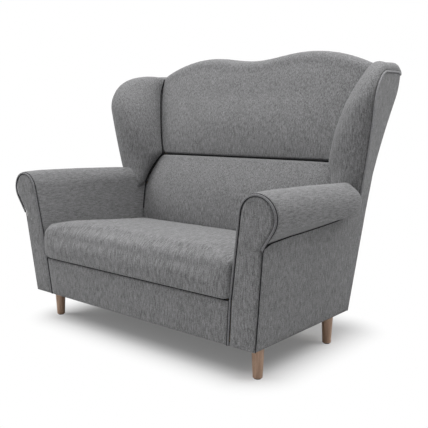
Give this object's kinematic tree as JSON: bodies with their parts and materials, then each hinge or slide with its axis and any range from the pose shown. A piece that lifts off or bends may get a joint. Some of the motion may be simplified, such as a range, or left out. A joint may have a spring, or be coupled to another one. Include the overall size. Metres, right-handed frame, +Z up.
{
  "type": "two-seater wing-back sofa",
  "caption": "Two-seat sofa with a high double-humped back, rolled wings and arms, one loose-look seat cushion, self-piping and short round tapered wooden legs.",
  "frame": {"origin": "on the floor, under the middle of the sofa's overall width and depth", "axes": "+X to the sofa's right as seen from the front, along the seat; +Y from the seat towards the back; +Z up"},
  "size_m": [1.3366, 0.8262, 1.0648],
  "materials": {
    "upholstery": "woven grey melange",
    "piping": "self piping in the cover fabric",
    "pine": "sawn and planed",
    "plywood": "raw plywood",
    "beech": "clear satin lacquer",
    "steel": "zinc plated",
    "felt": "non-woven",
    "black_cloth": "non-woven",
    "glide": "matt"
  },
  "bodies": {
    "root": {"front_rail": "pine", "rear_rail": "pine", "side_rail_left": "pine", "side_rail_right": "pine", "centre_stretcher": "pine", "corner_blocks": "plywood", "seat_springs": "steel", "spring_clips": "steel", "seat_deck": "felt", "dust_cover": "black_cloth", "arm_front_board_left": "plywood", "arm_front_board_right": "plywood", "arm_top_board_left": "pine", "arm_top_board_right": "pine", "arm_rear_board_left": "plywood", "arm_rear_board_right": "plywood", "back_post_left": "pine", "back_post_right": "pine", "back_top_rail": "pine", "back_mid_rail": "pine", "back_low_rail": "pine", "back_webbing": "felt", "wing_board_left": "plywood", "wing_board_right": "plywood", "leg_front_left": "beech", "leg_front_right": "beech", "leg_rear_left": "beech", "leg_rear_right": "beech", "leg_plates": "steel", "hanger_bolts": "steel", "leg_glides": "glide", "front_border": "upholstery", "seat_cushion": "upholstery", "lower_back_pad": "upholstery", "upper_back_pad": "upholstery", "arm_pad_left": "upholstery", "arm_pad_right": "upholstery", "arm_facing_left": "upholstery", "arm_facing_right": "upholstery", "facing_piping_left": "piping", "facing_piping_right": "piping", "outside_arm_left": "upholstery", "outside_arm_right": "upholstery", "wing_pad_left": "upholstery", "wing_pad_right": "upholstery", "outside_wing_left": "upholstery", "outside_wing_right": "upholstery", "wing_piping_left": "piping", "wing_piping_right": "piping", "outside_back": "upholstery"}
  },
  "joints": []
}
